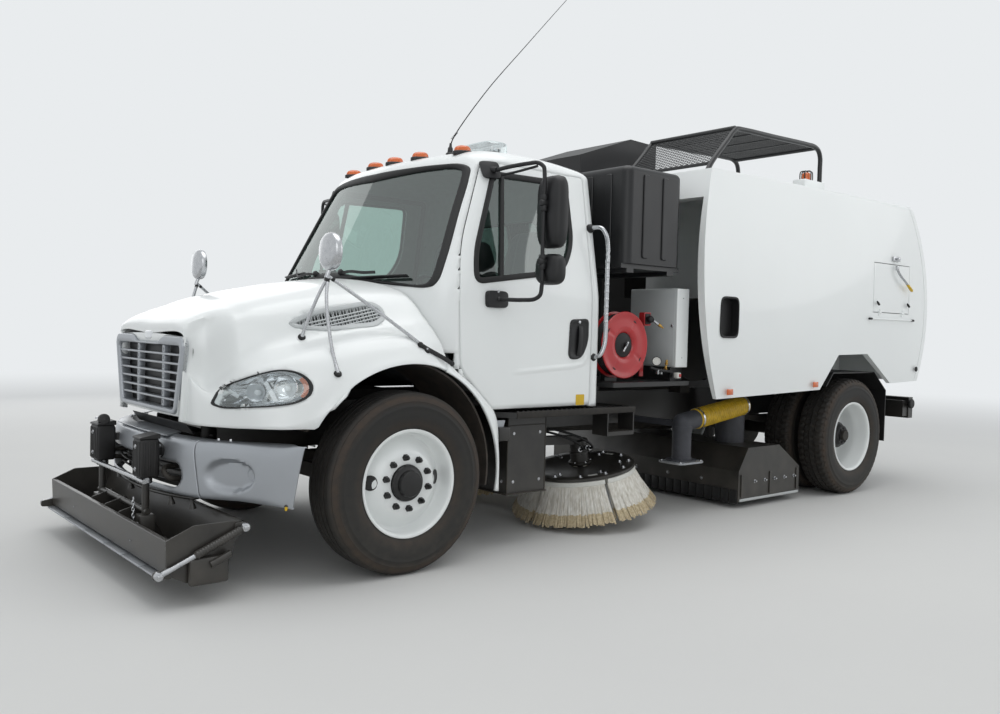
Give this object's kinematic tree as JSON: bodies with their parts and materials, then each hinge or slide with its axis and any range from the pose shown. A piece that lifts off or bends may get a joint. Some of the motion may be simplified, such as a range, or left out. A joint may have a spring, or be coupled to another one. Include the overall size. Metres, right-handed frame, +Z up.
{
  "type": "street sweeper truck",
  "caption": "Two-axle street sweeper truck with a long nose, gutter brooms, a pickup head, a tilting hopper with a rear door and a magnet bar in front",
  "frame": {"origin": "on the ground under the middle of the overall length and width", "axes": "+X forwards, +Y to the truck's left, +Z up"},
  "size_m": [7.23, 2.87, 3.8832],
  "materials": {
    "white_paint": "gloss",
    "black_paint": "satin",
    "red_paint": "gloss",
    "silver": "satin",
    "dark_steel": "rough",
    "bare_steel": "satin",
    "tyre": "matte",
    "rubber": "matte",
    "black_plastic": "matte",
    "lamp_plastic": "gloss",
    "amber_plastic": "gloss",
    "glass": "clear",
    "fabric": "woven",
    "yellow_hose": "satin",
    "bristle": "matte"
  },
  "bodies": {
    "chassis": {"frame_rails": "black_paint", "front_axle": "dark_steel", "leaf_springs": "dark_steel", "rear_axle": "dark_steel", "truck_engine": "dark_steel", "fender_liners": "black_plastic", "front_bumper": "silver", "magnet_lifts": "black_paint", "cab_shell": "white_paint", "cab_glass": "glass", "dashboard": "black_plastic", "seats": "fabric", "roof_lamps": "amber_plastic", "antenna": "rubber", "grab_handles": "black_paint", "running_boards": "black_paint", "tank_frame": "black_paint", "control_box": "white_paint", "water_tanks": "black_plastic", "aux_engine": "dark_steel", "pickup_head": "black_paint", "ducts": "rubber", "blast_hose": "yellow_hose", "chassis_brackets": "dark_steel", "rear_fenders": "black_plastic", "rear_bumper": "black_paint"},
    "hood": {"hood_shell": "white_paint", "grille": "silver", "headlamps": "lamp_plastic", "hood_mirrors": "bare_steel"},
    "left_door": {"door_left": "white_paint", "door_glass_left": "glass", "mirror_left": "black_paint"},
    "right_door": {"door_right": "white_paint", "door_glass_right": "glass", "mirror_right": "black_paint"},
    "left_knuckle": {"knuckle_left": "dark_steel"},
    "right_knuckle": {"knuckle_right": "dark_steel"},
    "steering_link": {"tie_rod": "dark_steel"},
    "front_left_wheel": {"tyre_front_left": "tyre", "rim_front_left": "white_paint"},
    "front_right_wheel": {"tyre_front_right": "tyre", "rim_front_right": "white_paint"},
    "rear_left_wheels": {"tyres_rear_left": "tyre", "rims_rear_left": "white_paint"},
    "rear_right_wheels": {"tyres_rear_right": "tyre", "rims_rear_right": "white_paint"},
    "hopper": {"hopper_shell": "white_paint", "roof_guard": "black_paint", "air_housing": "black_plastic", "roof_beacon": "lamp_plastic"},
    "tail_door": {"rear_door": "white_paint"},
    "hatch": {"inspection_door": "white_paint"},
    "left_arm": {"broom_arm_left": "black_paint"},
    "right_arm": {"broom_arm_right": "black_paint"},
    "left_broom": {"broom_left": "bristle"},
    "right_broom": {"broom_right": "bristle"},
    "magnet": {"magnet_bar": "black_paint"},
    "reel": {"hose_reel": "red_paint"}
  },
  "joints": [
    {"name": "hood_tilt", "type": "hinge", "parent": "chassis", "child": "hood", "pos_m": [3.215, 0, 0.8], "axis": [0, 1, 0], "range_deg": [0, 55]},
    {"name": "left_door_swing", "type": "hinge", "parent": "chassis", "child": "left_door", "pos_m": [1.873, 1.069, 1.3], "axis": [0, 0, -1], "range_deg": [0, 65]},
    {"name": "right_door_swing", "type": "hinge", "parent": "chassis", "child": "right_door", "pos_m": [1.873, -1.069, 1.3], "axis": [0, 0, 1], "range_deg": [0, 65]},
    {"name": "left_steer", "type": "hinge", "parent": "chassis", "child": "left_knuckle", "pos_m": [2.265, 0.86, 0.508], "axis": [0, 0, 1], "range_deg": [-35, 35]},
    {"name": "right_steer", "type": "hinge", "parent": "chassis", "child": "right_knuckle", "pos_m": [2.265, -0.86, 0.508], "axis": [0, 0, 1], "range_deg": [-35, 35]},
    {"name": "tie_rod_swing", "type": "hinge", "parent": "left_knuckle", "child": "steering_link", "pos_m": [2.075, 0.86, 0.3707], "axis": [0, 0, 1], "range_deg": [-35, 35]},
    {"name": "front_left_spin", "type": "hinge", "parent": "left_knuckle", "child": "front_left_wheel", "pos_m": [2.265, 1.046, 0.508], "axis": [0, 1, 0], "continuous": true},
    {"name": "front_right_spin", "type": "hinge", "parent": "right_knuckle", "child": "front_right_wheel", "pos_m": [2.265, -1.046, 0.508], "axis": [0, 1, 0], "continuous": true},
    {"name": "rear_left_spin", "type": "hinge", "parent": "chassis", "child": "rear_left_wheels", "pos_m": [-2.425, 0.9, 0.508], "axis": [0, 1, 0], "continuous": true},
    {"name": "rear_right_spin", "type": "hinge", "parent": "chassis", "child": "rear_right_wheels", "pos_m": [-2.425, -0.9, 0.508], "axis": [0, 1, 0], "continuous": true},
    {"name": "hopper_dump", "type": "hinge", "parent": "chassis", "child": "hopper", "pos_m": [-3.383, 0, 1.01], "axis": [0, -1, 0], "range_deg": [0, 50]},
    {"name": "tail_door_swing", "type": "hinge", "parent": "hopper", "child": "tail_door", "pos_m": [-3.23158, 0, 2.636], "axis": [0, 1, 0], "range_deg": [0, 80]},
    {"name": "hatch_swing", "type": "hinge", "parent": "hopper", "child": "hatch", "pos_m": [-2.905, 1.254, 1.612], "axis": [-1, 0, 0], "range_deg": [0, 150]},
    {"name": "left_arm_swing", "type": "hinge", "parent": "chassis", "child": "left_arm", "pos_m": [0.965, 0.5, 0.6], "axis": [0, 0, -1], "range_deg": [0, 25]},
    {"name": "right_arm_swing", "type": "hinge", "parent": "chassis", "child": "right_arm", "pos_m": [0.965, -0.5, 0.6], "axis": [0, 0, 1], "range_deg": [0, 25]},
    {"name": "left_broom_spin", "type": "hinge", "parent": "left_arm", "child": "left_broom", "pos_m": [0.376, 0.649, 0.09938], "axis": [0.1564, 0, 0.9877], "continuous": true},
    {"name": "right_broom_spin", "type": "hinge", "parent": "right_arm", "child": "right_broom", "pos_m": [0.376, -0.649, 0.09938], "axis": [0.1564, 0, 0.9877], "continuous": true},
    {"name": "magnet_lift", "type": "slide", "parent": "chassis", "child": "magnet", "axis": [0, 0, 1], "range_m": [-0.05, 0.05]},
    {"name": "reel_spin", "type": "hinge", "parent": "chassis", "child": "reel", "pos_m": [0.425, 1, 1.286], "axis": [0, 1, 0], "continuous": true}
  ],
  "couplings": [
    {"joint": "right_steer", "follows": "left_steer", "ratio": 1},
    {"joint": "tie_rod_swing", "follows": "left_steer", "ratio": -1}
  ]
}
